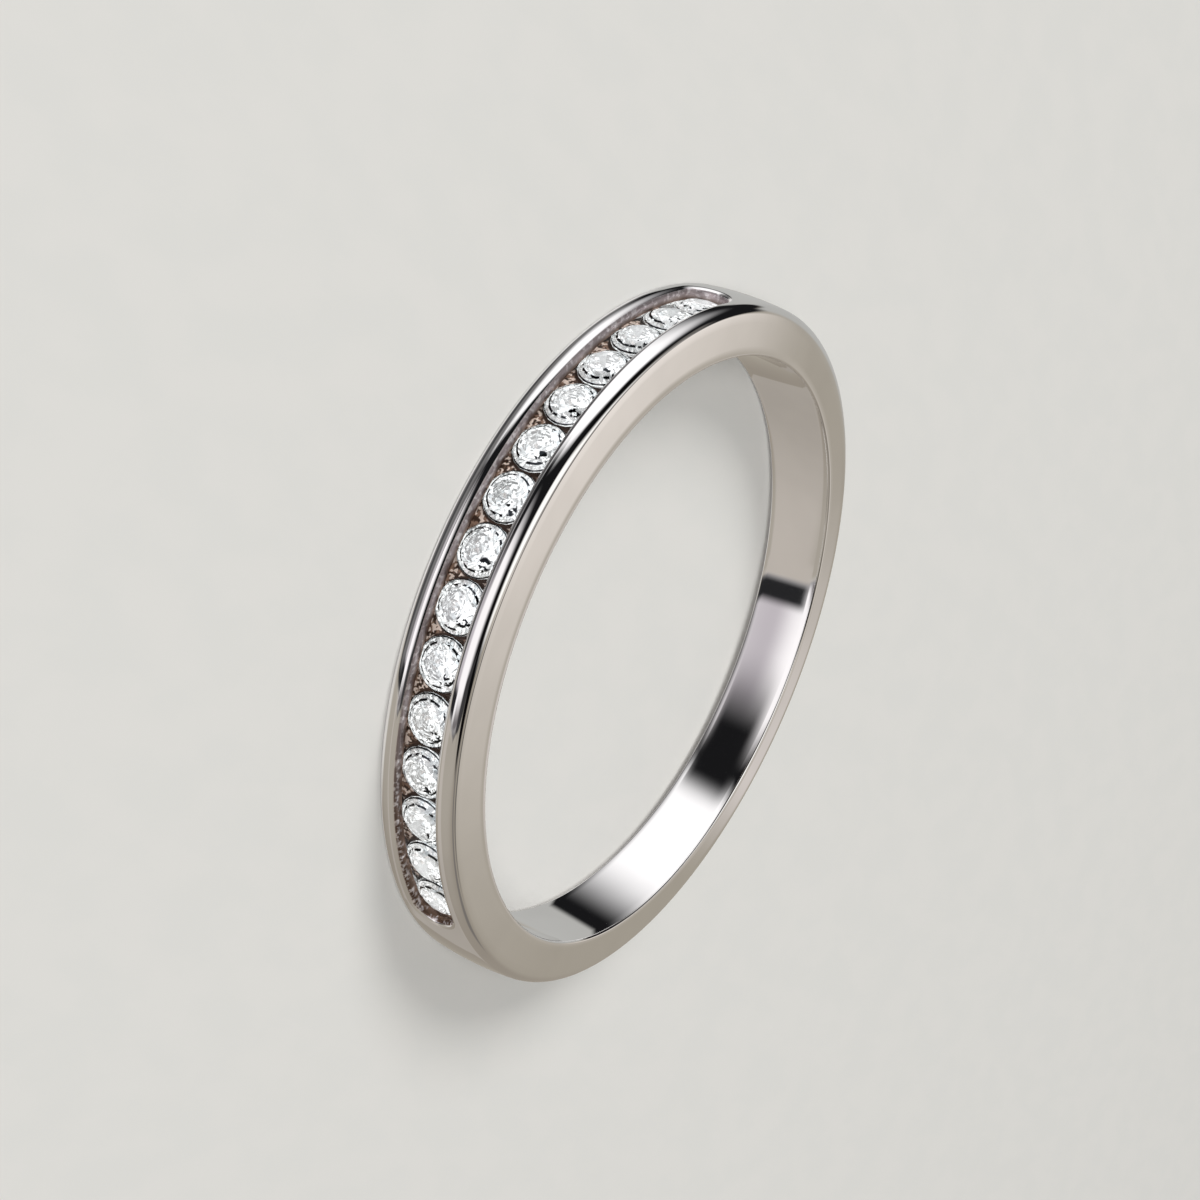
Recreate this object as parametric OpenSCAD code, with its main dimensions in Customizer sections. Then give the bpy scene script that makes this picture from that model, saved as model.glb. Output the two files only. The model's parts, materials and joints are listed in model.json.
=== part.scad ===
// Stacking ring: a slim polished band with a row of round brilliants set in a channel.
// Millimetres. +Z is the finger hole's axis, and the middle of the stone row faces -Y.

/* [Band] */
// Diameter of the finger hole
bore_d = 16.5; // [14:0.1:22]
// Metal thickness at the middle of the stone row
wall_head = 1.63; // [1.55:0.01:2]
// Metal thickness opposite the stones
wall_back = 1.07; // [0.9:0.01:1.5]
// Band width over the half that carries the stones
width_head = 2.25; // [2.1:0.05:2.8]
// Band width opposite the stones
width_back = 1.7; // [1.5:0.05:2]
// Rise of the outer face across the band's width
crown_rise = 0.08; // [0.03:0.01:0.12]
// Radius of the outer edges
edge_r = 0.25; // [0.1:0.01:0.3]

/* [Channel] */
// Width of the opening between the two rails
channel_w = 1.2; // [1.1:0.01:1.3]
// Depth of the stones' tables below the top of the rails
table_depth = 0.27; // [0.15:0.01:0.3]
// Free space round each stone
stone_gap = 0.02; // [0.01:0.005:0.04]
// Bevel along the rails' inner edges
lip_bevel = 0.1; // [0.03:0.01:0.12]
// Depth of the cups' rims below the stones' girdles
rim_depth = 0.1; // [0.09:0.005:0.12]

/* [Stones] */
// Number of stones
stone_count = 15; // [3:2:15]
// Diameter of a stone across its girdle
stone_d = 1.42; // [1.4:0.005:1.43]
// Distance between the middles of two neighbours, at the girdle
stone_pitch = 1.456; // [1.455:0.005:1.6]
// Width of the table over the girdle's
table_ratio = 0.57; // [0.5:0.01:0.65]
// Slope of the crown's main facets
crown_angle = 34; // [30:0.5:36]
// Slope of the pavilion's main facets
pavilion_angle = 40.8; // [38:0.1:41.5]
// Thickness of the girdle
girdle_h = 0.04; // [0.02:0.005:0.05]

/* [Hidden] */
$fn = 120;

function two_digits(i) = i < 10 ? str("0", i) : str(i);
function stone_name(i) = str("stone_", two_digits(i));

// The outer face is round about an axis of its own, moved towards the stones.
bore_r = bore_d / 2;
outer_r = bore_r + (wall_head + wall_back) / 2;
outer_shift = (wall_head - wall_back) / 2;
half_w = width_head / 2;

// The outer profile is an arc, blended into each side by the edge radius.
dome_r = (half_w * half_w + crown_rise * crown_rise) / (2 * crown_rise);
dome_x = outer_r - dome_r;
edge_z = half_w - edge_r;
edge_x = dome_x + sqrt(pow(dome_r - edge_r, 2) - edge_z * edge_z);
edge_turn = asin(edge_z / (dome_r - edge_r));

// Behind the stones' half, both sides slope in towards the back.
back_y = outer_r - outer_shift;
side_slope = atan((width_head - width_back) / 2 / back_y);

// Heights along the outer face's radius
stone_r = stone_d / 2;
crown_h = stone_r * (1 - table_ratio) * tan(crown_angle);
pavilion_h = stone_r * tan(pavilion_angle);
girdle_x = outer_r - table_depth - crown_h - girdle_h / 2;
culet_x = girdle_x - girdle_h / 2 - pavilion_h;
cup_floor = culet_x - stone_gap;
pitch_turn = 2 * asin(stone_pitch / 2 / girdle_x);
row_turn = (stone_count - 1) / 2 * pitch_turn;

// The groove holds the girdles under the rails' lips.
slot_r = channel_w / 2;
groove_r = stone_r + stone_gap;
lip_hold = groove_r - slot_r + stone_gap;
groove_top = girdle_x + girdle_h / 2 + lip_hold * tan(crown_angle) + stone_gap;
groove_floor = girdle_x - girdle_h / 2 - rim_depth;
lip_top = dome_x + sqrt(dome_r * dome_r - slot_r * slot_r);

// Turns +X to face -Y, where the stones are.
module to_head() {
    translate([0, -outer_shift, 0]) rotate([0, 0, -90]) children();
}

module band_profile() {
    reach = 2 * dome_r;
    intersection() {
        translate([dome_x, 0]) circle(dome_r);
        polygon([[dome_x, 0],
                 [dome_x + reach * cos(edge_turn), -reach * sin(edge_turn)],
                 [dome_x + reach * cos(edge_turn), reach * sin(edge_turn)]]);
    }
    for (side = [-1, 1]) translate([edge_x, side * edge_z]) circle(edge_r);
    translate([0, -half_w]) square([edge_x, width_head]);
    translate([0, -edge_z]) square([edge_x + edge_r / 2, 2 * edge_z]);
}

// Bevels that stand in for the round edge where the side slopes in
module back_bevel_profile() {
    reach = 3;
    room = 1.04;
    high_turn = 60;
    low_turn = 30;
    mid_turn = (high_turn + low_turn) / 2;
    clear_r = edge_r * room;
    mid_r = clear_r / cos(high_turn - mid_turn);
    mid = [edge_x + mid_r * cos(mid_turn), edge_z + mid_r * sin(mid_turn)];
    high = [edge_x + clear_r * (1 - sin(high_turn)) / cos(high_turn), edge_z + clear_r];
    low = mid + reach * [sin(low_turn), -cos(low_turn)];
    polygon([[0, -reach], [low[0], -reach], low, mid, high, [0, high[1]]]);
}

// What the slope takes from one side of the back half
module back_taper() {
    reach = 2 * outer_r;
    translate([0, 0, half_w]) rotate([-side_slope, 0, 0]) translate([0, 0, -half_w])
        difference() {
            translate([-reach / 2, 0, 0]) cube([reach, reach, 2 * half_w]);
            translate([0, -outer_shift, 0]) rotate_extrude() back_bevel_profile();
        }
}

// A slot that follows the outer face from end to end, with round ends; it may widen towards its top
module channel_cut(low, high, low_r, high_r) {
    rotate([0, 0, -row_turn]) rotate_extrude(angle = 2 * row_turn)
        polygon([[low, -low_r], [high, -high_r], [high, high_r], [low, low_r]]);
    for (side = [-1, 1]) rotate([0, 0, side * row_turn]) rotate([0, 90, 0])
        translate([0, 0, low]) cylinder(r1 = low_r, r2 = high_r, h = high - low);
}

// Places its child on the radius through the middle of stone i
module at_stone(i) {
    rotate([0, 0, (i - (stone_count + 1) / 2) * pitch_turn]) rotate([0, 90, 0]) children();
}

// The cup that a stone's lower half sits in
module cup_cut() {
    over = 0.03;
    room = 2 * stone_gap;
    low_r = room - stone_gap / tan(pavilion_angle);
    high_r = room + (groove_floor + over - culet_x) / tan(pavilion_angle);
    translate([0, 0, cup_floor]) cylinder(r1 = low_r, r2 = high_r, h = groove_floor + over - cup_floor);
}

module band() {
    color([0.86, 0.85, 0.84]) difference() {
        to_head() rotate_extrude() band_profile();
        cylinder(d = bore_d, h = 2 * width_head, center = true);
        back_taper();
        mirror([0, 0, 1]) back_taper();
        to_head() {
            over = 0.2;
            channel_cut(girdle_x, outer_r + over, slot_r, slot_r);
            channel_cut(groove_floor, groove_top, groove_r, groove_r);
            channel_cut(lip_top - lip_bevel, lip_top + over, slot_r, slot_r + lip_bevel + over);
            for (i = [1:stone_count]) at_stone(i) cup_cut();
        }
    }
}

function ring_points(radius, height, count, start) =
    [for (i = [0:count - 1]) [radius * cos(start + i * 360 / count), radius * sin(start + i * 360 / count), height]];

// Round brilliant: table, 8 stars, 8 kites and 16 halves above the girdle, 16 halves and 8 mains below
module brilliant() {
    star_ratio = 0.5;
    lower_ratio = 0.77;
    fold = 22.5;
    table_r = stone_r * table_ratio;
    top = crown_h + girdle_h / 2;
    star_r = table_r * cos(fold) + star_ratio * (stone_r - table_r * cos(fold));
    star_z = girdle_h / 2 + crown_h * (stone_r - star_r * cos(fold)) / (stone_r - table_r);
    lower_r = stone_r * (1 - lower_ratio);
    culet_z = -pavilion_h - girdle_h / 2;
    lower_z = culet_z + pavilion_h * lower_r * cos(fold) / stone_r;
    points = concat(
        ring_points(table_r, top, 8, 0),
        ring_points(star_r, star_z, 8, fold),
        ring_points(stone_r, girdle_h / 2, 16, 0),
        ring_points(stone_r, -girdle_h / 2, 16, 0),
        ring_points(lower_r, lower_z, 8, fold),
        [[0, 0, culet_z]]);
    star = 8;
    girdle_top = 16;
    girdle_low = 32;
    lower = 48;
    culet = 56;
    faces = concat(
        [[for (i = [7:-1:0]) i]],
        [for (i = [0:7]) [i, (i + 1) % 8, star + i]],
        [for (i = [0:7]) [i, star + i, girdle_top + 2 * i, star + (i + 7) % 8]],
        [for (i = [0:7]) [star + i, girdle_top + 2 * i + 1, girdle_top + 2 * i]],
        [for (i = [0:7]) [star + i, girdle_top + (2 * i + 2) % 16, girdle_top + 2 * i + 1]],
        [for (i = [0:15]) [girdle_top + i, girdle_top + (i + 1) % 16, girdle_low + (i + 1) % 16, girdle_low + i]],
        [for (i = [0:7]) [lower + i, girdle_low + 2 * i, girdle_low + 2 * i + 1]],
        [for (i = [0:7]) [lower + i, girdle_low + 2 * i + 1, girdle_low + (2 * i + 2) % 16]],
        [for (i = [0:7]) [culet, lower + (i + 7) % 8, girdle_low + 2 * i, lower + i]]);
    polyhedron(points, faces);
}

// Stones are counted from the -X end of the row, each turned a little further about its own axis.
module stone(i) {
    own_turn = 13;
    color([0.93, 0.95, 0.96]) to_head() at_stone(i)
        translate([0, 0, girdle_x]) rotate([0, 0, i * own_turn]) brilliant();
}

band();
for (i = [1:stone_count]) stone(i);
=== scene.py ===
import json
from math import asin, atan2, cos, pi, radians, sin, sqrt, tan

import bmesh
import bpy
from mathutils import Matrix, Vector


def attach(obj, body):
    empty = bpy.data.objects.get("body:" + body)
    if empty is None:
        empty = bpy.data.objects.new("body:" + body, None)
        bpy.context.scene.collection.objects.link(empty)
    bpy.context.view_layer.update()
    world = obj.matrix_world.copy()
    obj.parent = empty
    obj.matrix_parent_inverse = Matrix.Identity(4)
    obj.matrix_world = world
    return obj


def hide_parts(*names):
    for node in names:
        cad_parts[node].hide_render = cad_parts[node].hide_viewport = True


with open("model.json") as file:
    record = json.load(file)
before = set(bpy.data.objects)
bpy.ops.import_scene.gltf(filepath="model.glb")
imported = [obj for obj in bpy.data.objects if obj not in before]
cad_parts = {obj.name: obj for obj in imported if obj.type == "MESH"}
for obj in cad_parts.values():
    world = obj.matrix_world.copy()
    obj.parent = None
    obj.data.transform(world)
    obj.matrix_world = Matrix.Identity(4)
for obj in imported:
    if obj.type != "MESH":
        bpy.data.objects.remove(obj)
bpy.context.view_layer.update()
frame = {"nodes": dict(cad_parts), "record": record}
scene = bpy.context.scene
mm = 0.001  # the sizes below are in millimetres, and Blender works in metres


def addObject(name, data):
    made = bpy.data.objects.new(name, data)
    scene.collection.objects.link(made)
    return made


def objectFrom(name, bm):
    mesh = bpy.data.meshes.new(name)
    bm.to_mesh(mesh)
    bm.free()
    mesh.shade_smooth()
    return addObject(name, mesh)


# shader maths

mixSockets = {"share": 0, "first": 6, "second": 7, "result": 2}  # of a Mix node that mixes colours


def fillSockets(tree, node, values):  # a wire is linked, and any other value is set on the socket itself
    for name, value in values.items():
        if isinstance(value, Wire):
            tree.links.new(value.socket, node.inputs[name])
        else:
            node.inputs[name].default_value = value


class Wire:  # a node socket that can be added, multiplied and mixed
    def __init__(self, tree, socket=None):
        self.tree = tree
        self.socket = socket

    def node(self, kind, settings=None, inputs=None, out=0):
        made = self.tree.nodes.new(kind)
        for name, value in (settings or {}).items():
            setattr(made, name, value)
        fillSockets(self.tree, made, inputs or {})
        return None if out is None else Wire(self.tree, made.outputs[out])

    def math(self, operation, *values):
        return self.node("ShaderNodeMath", {"operation": operation}, dict(enumerate(values)))

    def __add__(self, other):
        return self.math("ADD", self, other)

    def __sub__(self, other):
        return self.math("SUBTRACT", self, other)

    def __mul__(self, other):
        return self.math("MULTIPLY", self, other)

    def __truediv__(self, other):
        return self.math("DIVIDE", self, other)

    def __radd__(self, other):
        return self.math("ADD", other, self)

    def __rsub__(self, other):
        return self.math("SUBTRACT", other, self)

    def __rmul__(self, other):
        return self.math("MULTIPLY", other, self)

    def __rtruediv__(self, other):
        return self.math("DIVIDE", other, self)

    def rise(self, at, soft):  # 0 below at, 1 above it, soft over this width
        settings = {"interpolation_type": "SMOOTHSTEP"}
        ends = {"From Min": at - soft / 2, "From Max": at + soft / 2}
        return self.node("ShaderNodeMapRange", settings, {"Value": self, **ends})

    def riseMm(self, at, soft):  # the same for a length, in millimetres
        return self.rise(at * mm, soft * mm)

    def mix(self, first, second):  # this wire is the share of the second colour
        inputs = {mixSockets["share"]: self}
        for key, colour in (("first", first), ("second", second)):
            inputs[mixSockets[key]] = colour if isinstance(colour, Wire) else (*colour, 1)
        return self.node("ShaderNodeMix", {"data_type": "RGBA"}, inputs, out=mixSockets["result"])


def splitAxes(g, vector):
    return [g.node("ShaderNodeSeparateXYZ", None, {0: vector}, out=axis) for axis in "XYZ"]


def noise(g, place, scale, detail):
    return g.node("ShaderNodeTexNoise", None, {"Vector": place, "Scale": scale, "Detail": detail})


def startFinish(name):  # a material, a wire in it and the place on the piece
    material = bpy.data.materials.new(name)
    material.use_nodes = True
    g = Wire(material.node_tree)
    return material, g, g.node("ShaderNodeTexCoord", out="Object")


def setFinish(material, values):
    tree = material.node_tree
    fillSockets(tree, tree.nodes["Principled BSDF"], values)


# camera

cameraSet = {
    "location": (4.293, -70.649, 35.669),
    "aim": (-0.571, -0.655, -1.168),  # the point at the middle of the picture
    "roll": 112.086,  # degrees, so that the ring keeps its slant in the frame while it lies on its side
    "lens": 88.645,
    "sensor": 36.0,
    "clip": (2.0, 20000.0),
}


def makeCamera(s):
    location = Vector(s["location"]) * mm
    sight = (Vector(s["aim"]) * mm - location).normalized()
    right = sight.cross(Vector((0, 0, 1))).normalized()
    level = Matrix((right, right.cross(sight), -sight)).transposed()
    turned = level @ Matrix.Rotation(radians(s["roll"]), 3, "Z")
    data = bpy.data.cameras.new("camera")
    data.lens = s["lens"]
    data.sensor_width = s["sensor"]
    data.clip_start, data.clip_end = [c * mm for c in s["clip"]]
    scene.camera = addObject("camera", data)
    scene.camera.matrix_world = Matrix.Translation(location) @ turned.to_4x4()


makeCamera(cameraSet)
print("camera made")

# studio: what the polished metal reflects, by compass angle (degrees from +X) and height (degrees)

darkGap = (0.010, 0.010, 0.011)  # between the lights
blackGap = (0.004, 0.004, 0.004)  # beside the overhead light
boreLight = (0.555, 0.51, 0.465)  # what the finger hole reflects
rearDim = (0.33, 0.295, 0.25)  # the wall's dim side

studioSet = {
    "wall": (0.44, 0.405, 0.355),
    "turnTo": 60,  # the compass angles end here, after a full turn
    # each card: the compass angles of its two edges and how soft they are, its colour and, if it needs
    # them, the heights of its other edges (rise: how soft they are) and the slant of its upright edges
    "cards": {
        "wallShade": {"azimuth": (10, 90), "soft": (70, 10), "colour": rearDim},
        "boreWall": {"azimuth": (-46, 90), "soft": (6, 10), "height": (-31, -20.5), "rise": (4, 3),
                     "colour": boreLight},
        "boreShade": {"azimuth": (8, 90), "soft": (70, 10), "height": (-31, -20.5), "rise": (4, 3),
                      "colour": (0.42, 0.385, 0.345)},
        "rearWall": {"azimuth": (-310, -255), "soft": (1, 20), "colour": (0.40, 0.365, 0.31)},
        "rearShade": {"azimuth": (-310, -285), "soft": (1, 30), "colour": rearDim},
        "faceGlow": {"azimuth": (-269, -250), "soft": (18, 10), "height": (27, 60), "rise": (8, 10),
                     "colour": (0.90, 0.84, 0.79)},
        "farGlow": {"azimuth": (-269.5, -264.5), "soft": (2.5, 8), "height": (17, 24), "rise": (3, 3),
                    "colour": (0.70, 0.65, 0.62)},
        "coolWall": {"azimuth": (-256, -223), "soft": (12, 3), "height": (-90, 22), "rise": (1, 10),
                     "slant": (0, -0.2), "colour": (0.50, 0.50, 0.485)},
        "gap": {"azimuth": (-224, -39), "soft": (5, 2), "slant": (-0.1, 0.08), "colour": darkGap},
        "archGap": {"azimuth": (-206, -220), "soft": (8, 4), "height": (12, 43), "rise": (6, 8),
                    "slant": (-1.3, 0), "colour": darkGap},
        "sideBox": {"azimuth": (-193, -133), "soft": (40, 16), "height": (-36, 38), "rise": (16, 18),
                    "slant": (0, -0.25), "colour": (1.25, 1.24, 1.26)},
        "sideCorner": {"azimuth": (-122, -100), "soft": (18, 10), "height": (12, 60), "rise": (8, 10),
                       "slant": (-1, 0), "colour": darkGap},
        "cornerGrey": {"azimuth": (-50, -37), "soft": (10, 2), "height": (10, 48), "rise": (20, 10),
                       "colour": (0.17, 0.16, 0.155)},
        "frontBox": {"azimuth": (-102, -42), "soft": (26, 10), "height": (-34, 27), "rise": (16, 38),
                     "slant": (0.25, 0), "colour": (1.15, 1.12, 1.14)},
        "frontLow": {"azimuth": (-102, -46), "soft": (26, 8), "height": (-34, -22), "rise": (16, 7),
                     "colour": (0.59, 0.55, 0.59)},
        "frontSeam": {"azimuth": (-132, -88), "soft": (16, 34), "height": (-30, -19.5), "rise": (4, 4),
                      "colour": darkGap},
        "frontGap": {"azimuth": (-52, -42), "soft": (5, 5), "height": (-60, -19.5), "rise": (10, 3),
                     "colour": (0.022, 0.022, 0.024)},
        "boreEdge": {"azimuth": (-41.5, -34), "soft": (3, 4), "height": (-33, -19.5), "rise": (4, 3),
                     "colour": boreLight},
        "lowGap": {"azimuth": (-205, -47), "soft": (20, 10), "height": (-90, -39), "rise": (1, 8),
                   "colour": (0.20, 0.195, 0.195)},
        "lowDark": {"azimuth": (-205, -47), "soft": (20, 10), "height": (-68, -48), "rise": (14, 6),
                    "colour": (0.07, 0.07, 0.073)},
        "lowGlow": {"azimuth": (-292, -212), "soft": (10, 30), "height": (-90, -36), "rise": (1, 8),
                    "colour": (0.85, 0.83, 0.82)},
        "floorGlow": {"azimuth": (-20, 60), "soft": (60, 1), "height": (-90, -54), "rise": (1, 10),
                      "colour": (0.75, 0.73, 0.70)},
        "topGap": {"azimuth": (-262, -30), "soft": (14, 30), "height": (46, 90), "rise": (14, 1),
                   "colour": blackGap},
        "crownGap": {"azimuth": (-60, 58), "soft": (30, 4), "height": (61, 90), "rise": (6, 1),
                     "colour": blackGap},
        "backGap": {"azimuth": (-285, -225), "soft": (10, 10), "height": (36, 46), "rise": (4, 6),
                    "colour": (0.15, 0.14, 0.13)},
        # these blunt the lower ends of the white stripes
        "tipShade": {"azimuth": (-48, -41), "soft": (12, 2), "height": (-14, 30), "rise": (6, 10),
                     "colour": (0.20, 0.185, 0.19)},
        "tipGap": {"azimuth": (-56, -48.3), "soft": (6, 2), "height": (24, 60), "rise": (10, 8),
                   "slant": (0, 0.39), "colour": (0.05, 0.048, 0.05)},
        # this draws the line between the rail and the upper side
        "creaseGap": {"azimuth": (41, 60), "soft": (8, 6), "height": (26, 62), "rise": (6, 6),
                      "colour": (0.20, 0.185, 0.17)},
    },
    # the overhead light's edges: the way each one faces, how far it is from straight up and how soft it is
    "topLight": {"edges": [(173, 25, 10), (229, 30, 14), (-62, 14, 22), (0, 10.5, 8), (34, 10, 16)],
                 "colour": (1.25, 1.23, 1.2)},
    "backdrop": (0.73, 0.72, 0.70),
    "ambient": 0.39,  # how much of the backdrop's light reaches the floor
    # what the stones gather through their facets
    "sparkle": {"bright": (1.20, 1.22, 1.23), "grey": (0.50, 0.53, 0.55), "dark": (0.03, 0.035, 0.04),
                "scale": 2.6, "detail": 1.0, "greyFrom": 0.57, "darkFrom": 0.66, "soft": 0.06},
}


def cardMask(card, azimuth, height):
    left, right = card.get("slant", (0, 0))
    start, end = card["azimuth"]
    mask = (azimuth - height * left).rise(start, card["soft"][0])
    mask = mask * (1 - (azimuth - height * right).rise(end, card["soft"][1]))
    if "height" in card:
        low, high = card["height"]
        mask = mask * height.rise(low, card["rise"][0]) * (1 - height.rise(high, card["rise"][1]))
    return mask


def studioColour(g, way, s):
    x, y, z = splitAxes(g, way)
    height = g.math("ARCSINE", z) * (180 / pi)
    turn = g.math("ARCTAN2", y, x)
    azimuth = g.math("WRAP", turn * (180 / pi), s["turnTo"], s["turnTo"] - 360)
    colour = s["wall"]
    for card in s["cards"].values():
        colour = cardMask(card, azimuth, height).mix(colour, card["colour"])
    fromTop = 90 - height
    across = fromTop * g.math("COSINE", turn)
    along = fromTop * g.math("SINE", turn)
    mask = 1
    for facing, far, soft in s["topLight"]["edges"]:
        reach = across * cos(radians(facing)) + along * sin(radians(facing))
        mask = mask * (1 - reach.rise(far, soft))
    return mask.mix(colour, s["topLight"]["colour"])


def sparkleColour(g, way, s):
    spots = noise(g, way, s["scale"], s["detail"])
    grey = spots.rise(s["greyFrom"], s["soft"]).mix(s["bright"], s["grey"])
    return spots.rise(s["darkFrom"], s["soft"]).mix(grey, s["dark"])


def makeStudio(s):
    world = bpy.data.worlds.new("studio")
    world.use_nodes = True
    world.cycles.sampling_method = "NONE"  # it is for reflections, and the lamps cast the shadow
    scene.world = world
    world.node_tree.nodes.clear()
    g = Wire(world.node_tree)
    way = g.node("ShaderNodeTexCoord", out="Generated")  # in a world, the way that a ray goes
    light = g.node("ShaderNodeBackground", None, {"Color": studioColour(g, way, s)})
    others = {
        "Is Camera Ray": (*s["backdrop"], 1),
        "Is Diffuse Ray": (*[s["ambient"] * c for c in s["backdrop"]], 1),
        "Is Transmission Ray": sparkleColour(g, way, s["sparkle"]),
    }
    for kind, colour in others.items():  # shaders and not colours are mixed, which is faster
        ray = g.node("ShaderNodeLightPath", out=kind)
        seen = g.node("ShaderNodeBackground", None, {"Color": colour})
        light = g.node("ShaderNodeMixShader", None, {0: ray, 1: light, 2: seen})
    g.node("ShaderNodeOutputWorld", None, {"Surface": light}, out=None)


makeStudio(studioSet)

lampTint = (1, 0.99, 0.97)
lightSet = {  # places and sizes in metres, power in watts
    "front": {"location": (0.09, -1.26, 1.08), "size": 0.75, "power": 15.0},
    "side": {"location": (-1.05, -0.68, 0.86), "size": 0.7, "power": 13.3},
}


def makeLamp(name, s):
    data = bpy.data.lights.new(name, "AREA")
    data.shape = "DISK"
    data.size = s["size"]
    data.energy = s["power"]
    data.color = lampTint
    lamp = addObject(name, data)
    location = Vector(s["location"])
    turned = (-location).to_track_quat("-Z", "Y").to_matrix()
    lamp.matrix_world = Matrix.Translation(location) @ turned.to_4x4()
    lamp.visible_glossy = False
    lamp.visible_transmission = False
    lamp.visible_camera = False


for lampName, lampValues in lightSet.items():
    makeLamp(lampName, lampValues)

floorSet = {
    "size": 6000.0,
    "low": -1.125,  # where the band's lower side is
    "colour": (0.748, 0.749, 0.731),
    "mottle": (0.762, 0.759, 0.740),
    "mottleScale": (800.0, 360.0, 800.0),
    "mottleDetail": 3.0,
    "mottleFrom": (0.5, 0.3),  # the noise's level and how soft it is
    "roughness": 0.9,
    "specular": 0.1,
}


def makeFloor(s):
    bm = bmesh.new()
    bmesh.ops.create_grid(bm, x_segments=1, y_segments=1, size=s["size"] / 2 * mm)
    bmesh.ops.translate(bm, verts=bm.verts, vec=(0, 0, s["low"] * mm))
    floor = objectFrom("floor", bm)
    floor.visible_glossy = False
    floor.visible_transmission = False
    material, g, place = startFinish("paper")
    place = g.node("ShaderNodeMapping", None, {"Vector": place, "Scale": s["mottleScale"]})
    fibres = noise(g, place, 1.0, s["mottleDetail"])
    setFinish(material, {
        "Base Color": fibres.rise(*s["mottleFrom"]).mix(s["colour"], s["mottle"]),
        "Roughness": s["roughness"],
        "Specular IOR Level": s["specular"],
    })
    floor.data.materials.append(material)


makeFloor(floorSet)
print("studio made")

# band

bandSet = {
    "boreR": frame["record"]["mounts"][0]["dims"]["r_mm"],  # the finger hole
    "outerR": 9.6,
    "outerShift": 0.28,  # the outer face's own axis, towards the stones
    "shiftOver": 1.0,  # the shift grows over this much of the wall
    "halfW": 1.125,
    "backHalfW": 0.85,
    "taperBlend": 3.0,  # the sides turn into their slope over this far either way
    "crownRise": 0.08,
    "edgeR": 0.25,
    "comfortR": 0.07,
    "comfortRise": 0.02,  # how much wider the finger hole is at its edges than at its middle
    "slotHalfW": 0.6,
    "lipR": 0.175,
    "stoneR": 0.71,
    "tableDepth": 0.27,
    "tableRatio": 0.57,
    "crownAngle": 34.0,
    "pavilionAngle": 40.8,
    "girdleH": 0.04,
    "stoneGap": 0.02,
    "stonePitch": 1.456,
    "stoneCount": 15,
    "rimDepth": 0.1,  # the cups' rims below the stones' girdles
    "floorDrop": 0.09,  # from the stones' points down to the metal under their cups
    "steps": 720,
    "rowSteps": 128,  # steps from the middle stone to the last one
    "endSteps": 18,  # steps over which the round end fades out
    "lipSteps": 8,
    "comfortSteps": 5,
    "sideSteps": 5,
    "edgeSteps": 8,
    "slotSteps": 8,  # from the middle of the channel's mouth to its edge
    "boreSteps": 6,  # from the finger hole's middle to its edge
    "weld": 1e-5,  # points closer than this are one
    "floorWeld": 1e-3,  # the same where the channel's floor meets its walls
    "sharp": 50.0,
}


# the levels are distances from the outer face's axis, and rowTurn goes from the middle stone to the last
def bandLevels(s):
    crownH = s["stoneR"] * (1 - s["tableRatio"]) * tan(radians(s["crownAngle"]))
    pavilionH = s["stoneR"] * tan(radians(s["pavilionAngle"]))
    girdle = s["outerR"] - s["tableDepth"] - crownH - s["girdleH"] / 2
    grooveHalfW = s["stoneR"] + s["stoneGap"]
    hold = grooveHalfW - s["slotHalfW"] + s["stoneGap"]
    return {
        "girdle": girdle,
        "rowTurn": (s["stoneCount"] - 1) * asin(s["stonePitch"] / 2 / girdle),
        "grooveHalfW": grooveHalfW,
        "grooveTop": girdle + s["girdleH"] / 2 + hold * tan(radians(s["crownAngle"])) + s["stoneGap"],
        "rim": girdle - s["girdleH"] / 2 - s["rimDepth"],
        "culet": girdle - s["girdleH"] / 2 - pavilionH,
        "floor": girdle - s["girdleH"] / 2 - pavilionH - s["floorDrop"],
    }


def arcPoints(centre, radius, start, end, steps):
    turns = [start + (end - start) * i / steps for i in range(steps + 1)]
    return [(centre[0] + radius * cos(t), centre[1] + radius * sin(t)) for t in turns]


def bandProfile(s):  # the band's cut, from the finger hole's lower edge round the outside and back
    half, edge, comfort = s["halfW"], s["edgeR"], s["comfortR"]
    comfortSteps, sideSteps, edgeSteps = s["comfortSteps"], s["sideSteps"], s["edgeSteps"]
    slotSteps, boreSteps = s["slotSteps"], s["boreSteps"]
    domeR = (half**2 + s["crownRise"] ** 2) / (2 * s["crownRise"])
    domeX = s["outerR"] - domeR
    edgeZ = half - edge
    edgeX = domeX + sqrt((domeR - edge) ** 2 - edgeZ**2)
    edgeTurn = asin(edgeZ / (domeR - edge))
    slotEdge = s["slotHalfW"] + s["lipR"]
    slotRows = [sin(pi / 2 * i / slotSteps) * slotEdge for i in range(-slotSteps, slotSteps + 1)]
    bore = s["boreR"] + s["comfortRise"] + comfort
    points = arcPoints((bore, -half + comfort), comfort, -pi, -pi / 2, comfortSteps)
    points += [(bore + (edgeX - bore) * i / sideSteps, -half) for i in range(1, sideSteps)]
    points += arcPoints((edgeX, -edgeZ), edge, -pi / 2, -edgeTurn, edgeSteps)
    points += [(domeX + sqrt(domeR**2 - z**2), z) for z in slotRows]
    points += arcPoints((edgeX, edgeZ), edge, edgeTurn, pi / 2, edgeSteps)
    points += [(edgeX + (bore - edgeX) * i / sideSteps, half) for i in range(1, sideSteps)]
    points += arcPoints((bore, half - comfort), comfort, pi / 2, pi, comfortSteps)
    rows = [1 - i / boreSteps for i in range(1, 2 * boreSteps)]
    points += [(s["boreR"] + s["comfortRise"] * k**2, (half - comfort) * k) for k in rows]
    return points


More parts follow.
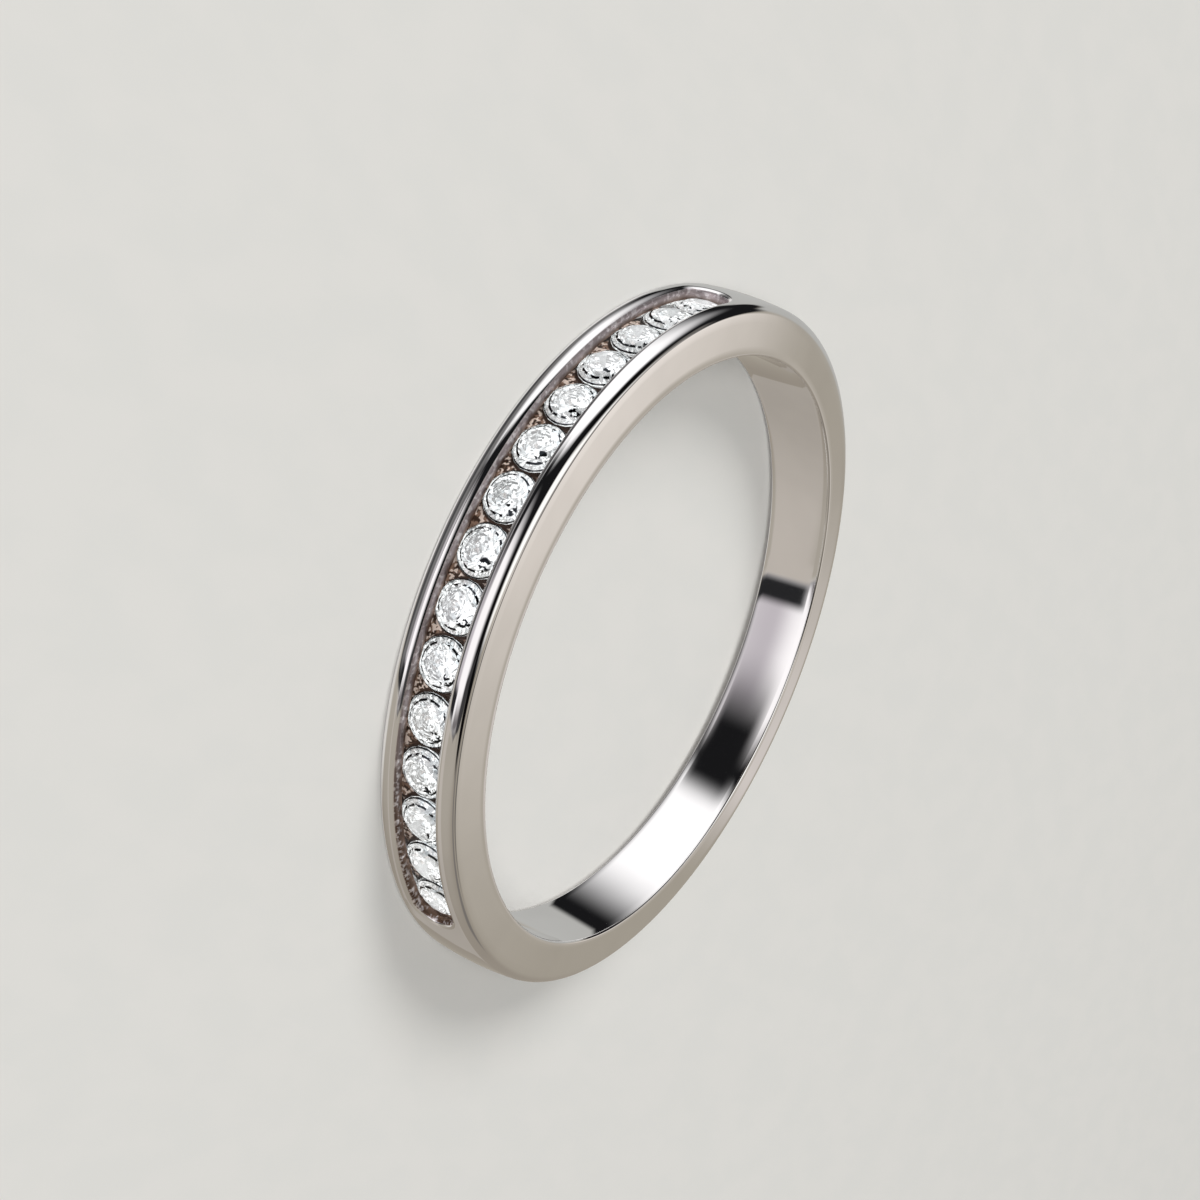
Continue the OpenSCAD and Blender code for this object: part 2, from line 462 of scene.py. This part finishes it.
def spinProfile(bm, points, steps, weld):
    verts = [bm.verts.new((x, 0, z)) for x, z in points]
    edges = [bm.edges.new((verts[i - 1], verts[i])) for i in range(len(verts))]
    bmesh.ops.spin(bm, geom=verts + edges, cent=(0, 0, 0), axis=(0, 0, 1), angle=2 * pi,
                   steps=steps, use_merge=True)
    bmesh.ops.remove_doubles(bm, verts=bm.verts, dist=weld)
    bmesh.ops.recalc_face_normals(bm, faces=bm.faces)


def polar(co):
    return sqrt(co.x**2 + co.y**2), atan2(co.y, co.x)


def setPolar(vert, r, turn, z):
    vert.co = (r * cos(turn), r * sin(turn), z)


def newVerts(made):
    return [v for v in made["geom"] if isinstance(v, bmesh.types.BMVert)]


def newEdges(made):
    return [e for e in made["geom"] if isinstance(e, bmesh.types.BMEdge)]


def markSharp(bm, angle):
    for e in bm.edges:
        e.smooth = e.calc_face_angle(0) < radians(angle)


def spreadRow(bm, s, rowTurn):  # fits the points to the row and its round ends, and gives those inside
    step = 2 * pi / s["steps"]
    rowStep = rowTurn / s["rowSteps"]
    restStep = (pi - rowTurn) / (s["steps"] / 2 - s["rowSteps"])
    half = s["slotHalfW"] + s["lipR"]
    outerFrom = (s["outerR"] + s["boreR"]) / 2
    inSlot = set()
    for v in bm.verts:
        r, turn = polar(v.co)
        column = round(abs(turn) / step)
        past = column - s["rowSteps"]
        newTurn = column * rowStep if past <= 0 else rowTurn + past * restStep
        if abs(v.co.z) <= half + s["weld"] and r > outerFrom:
            fade = max(0.0, 1 - abs(past) / s["endSteps"])
            newTurn += fade * sqrt(max(0.0, half**2 - v.co.z**2)) / s["outerR"]
            if past <= 0:
                inSlot.add(v)
        setPolar(v, r, newTurn if turn >= 0 else -newTurn, v.co.z)
    return inSlot


def shrink(verts, grow, r, rowTurn):  # narrows a ring of the channel; r is its new level, or a drop below 0
    for v in verts:
        was, turn = polar(v.co)
        level = r if r > 0 else was + r
        over = max(0.0, abs(turn) - rowTurn) * (grow * was / level - 1)
        setPolar(v, level, turn + (over if turn >= 0 else -over), v.co.z * grow)


def sinkChannel(bm, s, inSlot, levels):
    rowTurn = levels["rowTurn"]
    half = s["slotHalfW"] + s["lipR"]
    slotFaces = [f for f in bm.faces if all(v in inSlot for v in f.verts)]
    floorVerts = newVerts(bmesh.ops.split(bm, geom=slotFaces))
    onFloor = set(floorVerts)  # only asked what it holds: its order would change from run to run
    ring = [e for e in bm.edges if e.is_boundary and e.verts[0] not in onFloor]
    shrink(floorVerts, levels["grooveHalfW"] / half, levels["floor"], rowTurn)
    # the lip turns down into the channel, then come its wall, the groove and the wall behind the cups
    turns = [pi / 2 * i / s["lipSteps"] for i in range(s["lipSteps"] + 1)]
    ways = [half - s["lipR"] * sin(t) for t in turns]
    drops = [s["lipR"] * (cos(t) - 1) for t in turns]
    rows = [(ways[i + 1] / ways[i], drops[i + 1] - drops[i]) for i in range(s["lipSteps"])]
    groove = levels["grooveHalfW"] / s["slotHalfW"]
    rows += [(1, levels["grooveTop"]), (groove, levels["grooveTop"]), (1, levels["floor"])]
    for grow, r in rows:
        made = bmesh.ops.extrude_edge_only(bm, edges=ring)
        ring = newEdges(made)
        shrink(newVerts(made), grow, r, rowTurn)
    bmesh.ops.remove_doubles(bm, verts=floorVerts + newVerts(made), dist=s["floorWeld"])


def slopeSides(bm, s):  # the outer face moves towards the stones, and the sides slope in behind them
    slope = (s["halfW"] - s["backHalfW"]) / (s["outerR"] - s["outerShift"])
    blend = s["taperBlend"]
    for v in bm.verts:
        r, turn = polar(v.co)
        v.co.xy = r * sin(turn), -r * cos(turn)
        keep = min(1.0, max(0.0, 1 - (r - s["boreR"] - s["comfortR"]) / s["shiftOver"]))
        v.co.y -= s["outerShift"] * (1 - keep)
        y = v.co.y
        rise = 0 if y < -blend else (y + blend) ** 2 / (4 * blend) if y < blend else y
        v.co.z *= 1 - slope * rise / s["halfW"]
        v.co *= mm


def makeBand(s):
    levels = bandLevels(s)
    bm = bmesh.new()
    spinProfile(bm, bandProfile(s), s["steps"], s["weld"])
    inSlot = spreadRow(bm, s, levels["rowTurn"])
    sinkChannel(bm, s, inSlot, levels)
    slopeSides(bm, s)
    bmesh.ops.recalc_face_normals(bm, faces=bm.faces)
    markSharp(bm, s["sharp"])
    piece = objectFrom("polished_band", bm)
    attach(piece, "root")
    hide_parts("band")
    return piece


# seat: the plate in the channel, with a cup for each stone

seatSet = {
    "steps": 48,
    "gap": 0.04,  # between a stone and its cup, measured along the plate
    "side": 0.004,  # between the plate and the channel's walls
    "tipR": 0.05,
    "wall": 0.04,
    "weld": 1e-4,
    "sharp": 30.0,
}


def cellEdge(turn, halfX, halfY, roundX):  # the cell is square, and round where the row ends
    x, y = cos(turn), sin(turn)
    if x * roundX > 0:
        return x * halfY, y * halfY
    reach = max(abs(x), abs(y))
    return x / reach * halfX, y / reach * halfY


def makeSeat(b, s):
    levels = bandLevels(b)
    slope = tan(radians(b["pavilionAngle"]))
    top = levels["rim"]
    last = b["stoneCount"] - 1
    pitchTurn = levels["rowTurn"] * 2 / last
    holeR = (top - levels["culet"]) / slope + s["gap"]
    depth = top - levels["culet"] - (s["tipR"] - s["gap"]) * slope
    halfX = top * tan(pitchTurn / 2)
    halfY = levels["grooveHalfW"] - s["side"]
    bm = bmesh.new()
    for i in range(b["stoneCount"]):
        rim = bmesh.ops.create_circle(bm, segments=s["steps"], radius=holeR)["verts"]
        edges = list(dict.fromkeys(e for v in rim for e in v.link_edges))  # each once, in a fixed order
        around = newVerts(bmesh.ops.extrude_edge_only(bm, edges=edges))
        roundX = -1 if i == 0 else 1 if i == last else 0  # the side on which the row ends
        for v in around:
            v.co.xy = cellEdge(atan2(v.co.y, v.co.x), halfX, halfY, roundX)
        cup = bmesh.ops.extrude_edge_only(bm, edges=edges)
        tip = newVerts(cup)
        for v in tip:
            v.co = (v.co.x * s["tipR"] / holeR, v.co.y * s["tipR"] / holeR, -depth)
        bmesh.ops.edgeloop_fill(bm, edges=newEdges(cup))
        turn = (i - last / 2) * pitchTurn
        out = Vector((sin(turn), -cos(turn), 0))
        along = Vector((cos(turn), sin(turn), 0))
        cell = Matrix((along, Vector((0, 0, 1)), out)).transposed().to_4x4()
        cell.translation = out * top + Vector((0, -b["outerShift"], 0))
        bmesh.ops.transform(bm, matrix=cell, verts=rim + around + tip)
    bmesh.ops.remove_doubles(bm, verts=bm.verts, dist=s["weld"])
    bmesh.ops.recalc_face_normals(bm, faces=bm.faces)
    bmesh.ops.solidify(bm, geom=bm.faces[:], thickness=s["wall"])
    bmesh.ops.recalc_face_normals(bm, faces=bm.faces)
    bmesh.ops.scale(bm, vec=(mm, mm, mm), verts=bm.verts)
    markSharp(bm, s["sharp"])
    piece = objectFrom("channel_seat", bm)
    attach(piece, "root")
    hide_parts("band")
    return piece


band = makeBand(bandSet)
print("band made", len(band.data.polygons), "faces")
seat = makeSeat(bandSet, seatSet)
print("seat made", len(seat.data.polygons), "faces")

# finishes: a name that ends in Noise gives a pattern's scale and detail, and one that ends in From gives
# the level where something starts and how soft that is

metalFinish = {
    "colour": (0.87, 0.86, 0.85),
    "cloudy": (0.84, 0.83, 0.82),
    "cloudNoise": (600.0, 2.0),
    "cloudFrom": (0.5, 0.3),
    "roughness": (0.025, 0.05),
    "wearNoise": (5000.0, 3.0),
    "wall": (0.64, 0.56, 0.57),  # the channel's inner walls, darker and mauve: painted reflection
    # the painted glints in the walls' grain
    "wallGlint": (1.0, 0.94, 0.95),
    "wallEnd": (0.20, 0.13, 0.095),  # towards the row's end at +X
    "wallLow": (0.34, 0.23, 0.18),  # painted shade, darker and browner near the stones' points
    "wallNoise": (7000.0, 2.0),
    "wallRoughness": 0.5,
    "glintFrom": (0.56, 0.16),
    "endFrom": (5.5, 4.0),
    "lowSoft": 0.2,
    # the walls' finish: how far past the channel's side, how far below the rails and how soft its edge is
    "wallPast": 0.045,
    "wallBelow": 0.075,
    "wallSoft": 0.02,
    "wallR": 8.3,  # outside the finger hole
    "wallY": -2.0,  # on the stones' side of the ring
}


def fromOuterAxis(g, place, b):
    x, y, z = splitAxes(g, place)
    y = y + b["outerShift"] * mm
    return g.math("SQRT", x * x + y * y), x, y, z


# the way along the row, across it and from the stone's axis, in its radii; then two of fromOuterAxis
def fromStoneAxis(g, place, b):
    radius, x, y, z = fromOuterAxis(g, place, b)
    pitchTurn = bandLevels(b)["rowTurn"] * 2 / (b["stoneCount"] - 1)
    turn = g.math("WRAP", g.math("ARCTAN2", x, 0 - y), pitchTurn / 2, -pitchTurn / 2)
    along = radius * g.math("SINE", turn) / (b["stoneR"] * mm)
    across = z / (b["stoneR"] * mm)
    return along, across, g.math("SQRT", along * along + across * across), radius, x


def wallMask(s, b, radius, y, z):  # 1 on the channel's walls, 0 on the polished outside
    soft = s["wallSoft"]
    mask = 1 - z.math("ABSOLUTE", z).riseMm(b["slotHalfW"] + s["wallPast"], soft)
    mask = mask * (1 - radius.riseMm(b["outerR"] - s["wallBelow"], soft))
    return mask * radius.riseMm(s["wallR"], soft) * (1 - y.riseMm(s["wallY"], soft))


def makeMetal(s, b):
    material, g, place = startFinish("polished_metal_finish")
    radius, x, y, z = fromOuterAxis(g, place, b)
    inside = wallMask(s, b, radius, y, z)
    clouds = noise(g, place, *s["cloudNoise"])
    wear = noise(g, place, *s["wearNoise"])
    grain = noise(g, place, *s["wallNoise"])
    outside = clouds.rise(*s["cloudFrom"]).mix(s["colour"], s["cloudy"])
    # the walls' darker mauve tone is painted reflection, with painted glints over their grain
    wall = x.riseMm(*s["endFrom"]).mix(s["wall"], s["wallEnd"])
    wall = grain.rise(*s["glintFrom"]).mix(wall, s["wallGlint"])
    # painted shade, darker deep in the channel
    wall = radius.riseMm(b["outerR"] - b["tableDepth"], s["lowSoft"]).mix(s["wallLow"], wall)
    low, high = s["roughness"]
    rough = low + (high - low) * wear
    setFinish(material, {
        "Base Color": inside.mix(outside, wall),
        "Roughness": rough + (s["wallRoughness"] - rough) * inside,
        "Metallic": 1,
    })
    return material


band.data.materials.append(makeMetal(metalFinish, bandSet))

seatFinish = {
    # dark and light: a brown mottle that is painted reflection and painted shade under the stones
    "dark": (0.06, 0.034, 0.024),
    "light": (0.36, 0.23, 0.17),
    # the painted glints on the plate
    "glint": (1.0, 0.84, 0.75),
    "cup": (0.80, 0.80, 0.81),
    "rimFrom": (1.09, 0.06),  # the painted shadow as a dark rim around each cup, in shares of the stone's radius
    "grainNoise": (7500.0, 2.0),
    "lightFrom": (0.52, 0.12),
    "glintNoise": (9000.0, 1.0),
    "glintFrom": (0.53, 0.05),
    "cupDrop": 0.05,  # the cup's own finish starts this far below its rim
    "cupSoft": 0.04,
    "metallic": 0.3,
    "roughness": 0.45,
}


def makeSeatMetal(s, b):
    material, g, place = startFinish("channel_seat_finish")
    reach, radius = fromStoneAxis(g, place, b)[2:4]
    grain = noise(g, place, *s["grainNoise"])
    paintedGlints = noise(g, place, *s["glintNoise"])
    # painted reflection and shade as a brown mottle, with painted glints over it
    colour = grain.rise(*s["lightFrom"]).mix(s["dark"], s["light"])
    colour = paintedGlints.rise(*s["glintFrom"]).mix(colour, s["glint"])
    # a painted shadow as a dark rim round each cup
    colour = reach.rise(*s["rimFrom"]).mix(s["dark"], colour)
    cup = radius.riseMm(bandLevels(b)["rim"] - s["cupDrop"], s["cupSoft"])
    setFinish(material, {
        "Base Color": cup.mix(s["cup"], colour),
        "Metallic": s["metallic"],
        "Roughness": s["roughness"],
    })
    return material


seat.data.materials.append(makeSeatMetal(seatFinish, bandSet))

diamondFinish = {
    "clear": (0.98, 0.99, 0.985),
    # the dark colour of the painted reflections on the facets
    "line": (0.03, 0.035, 0.04),
    # a painted bluish-grey reflection on one side of each stone
    "shade": (0.62, 0.69, 0.73),
    "table": (0.86, 0.87, 0.87),  # how much light passes the table
    "tableGlow": (0.125, 0.127, 0.127),  # and a painted glow of its own, which stands in for light it returns
    "endGlow": (0.22, 0.223, 0.223),  # a stronger painted glow towards the row's ends, where the tables are seen aslant
    # a faint painted glow outside the table
    "rimGlow": (0.025, 0.026, 0.026),
    "endFrom": (6.6, 3.2),
    # painted dark reflections: the broken ring between the table and the girdle, and the dark girdle, in
    # shares of the radius
    "ring": (0.73, 0.81),
    "girdle": 0.94,
    "lineSoft": 0.03,
    "dashNoise": (6500.0, 1.0),
    "dashFrom": (0.47, 0.06),
    "speckNoise": (9000.0, 1.0),
    "speckFrom": (0.54, 0.05),
    "patch": (0.42, 0.40),  # the middle of a painted dark patch, along the row and across it
    "patchFrom": (0.24, 0.1),  # its radius
    "shadeFrom": (0.75, 0.3),
    "shadeDashFrom": (0.5, 0.06),
    "tableSoft": 0.12,
    "upperSoft": 0.02,
    "ior": 2.417,
}


def paintedDarkMask(s, along, across, reach, dashes, specks):  # painted dark reflections: the ring, the girdle and the patch
    low, high = s["ring"]
    ring = reach.rise(low, s["lineSoft"]) * (1 - reach.rise(high, s["lineSoft"]))
    ring = ring * dashes.rise(*s["dashFrom"])
    aside, ahead = along - s["patch"][0], across - s["patch"][1]
    patch = 1 - reach.math("SQRT", aside * aside + ahead * ahead).rise(*s["patchFrom"])
    line = reach.math("MAXIMUM", ring, reach.rise(s["girdle"], s["lineSoft"]))
    return reach.math("MAXIMUM", line, patch * specks.rise(*s["speckFrom"]))


def makeDiamond(s, b):
    material, g, place = startFinish("diamond_finish")
    along, across, reach, radius, x = fromStoneAxis(g, place, b)
    dashes = noise(g, place, *s["dashNoise"])
    specks = noise(g, place, *s["speckNoise"])
    upper = radius.riseMm(bandLevels(b)["girdle"] + b["girdleH"], s["upperSoft"])
    line = paintedDarkMask(s, along, across, reach, dashes, specks) * upper  # painted dark reflections, only on the upper facets
    # a painted bluish-grey reflection, broken by dashes, on one side of each stone
    shade = (across - along).rise(*s["shadeFrom"]) * (1 - dashes.rise(*s["shadeDashFrom"]))
    clear = shade.mix(s["clear"], s["shade"])
    table = 1 - reach.rise((b["tableRatio"] + s["ring"][0]) / 2, s["tableSoft"])
    # painted glow in the table, stronger towards the row's ends
    paintedGlow = g.math("ABSOLUTE", x).riseMm(*s["endFrom"]).mix(s["tableGlow"], s["endGlow"])
    setFinish(material, {
        "Base Color": line.mix(table.mix(clear, s["table"]), s["line"]),
        "Emission Color": line.mix(table.mix(s["rimGlow"], paintedGlow), (0, 0, 0)),
        "Emission Strength": 1,
        "Metallic": line,
        "Roughness": 0.0,
        "IOR": s["ior"],
        "Transmission Weight": 1,
    })
    return material


diamond = makeDiamond(diamondFinish, bandSet)
for name in frame["nodes"]:
    if name.startswith("stone_"):
        stone = bpy.data.objects[name]
        stone.data.materials.clear()
        stone.data.materials.append(diamond)
print("finishes made")

bounces = {"glossy": 12, "all": 20}  # light turns back many times inside a cut stone
scene.view_settings.view_transform = "Standard"
scene.cycles.glossy_bounces = bounces["glossy"]
scene.cycles.max_bounces = bounces["all"]
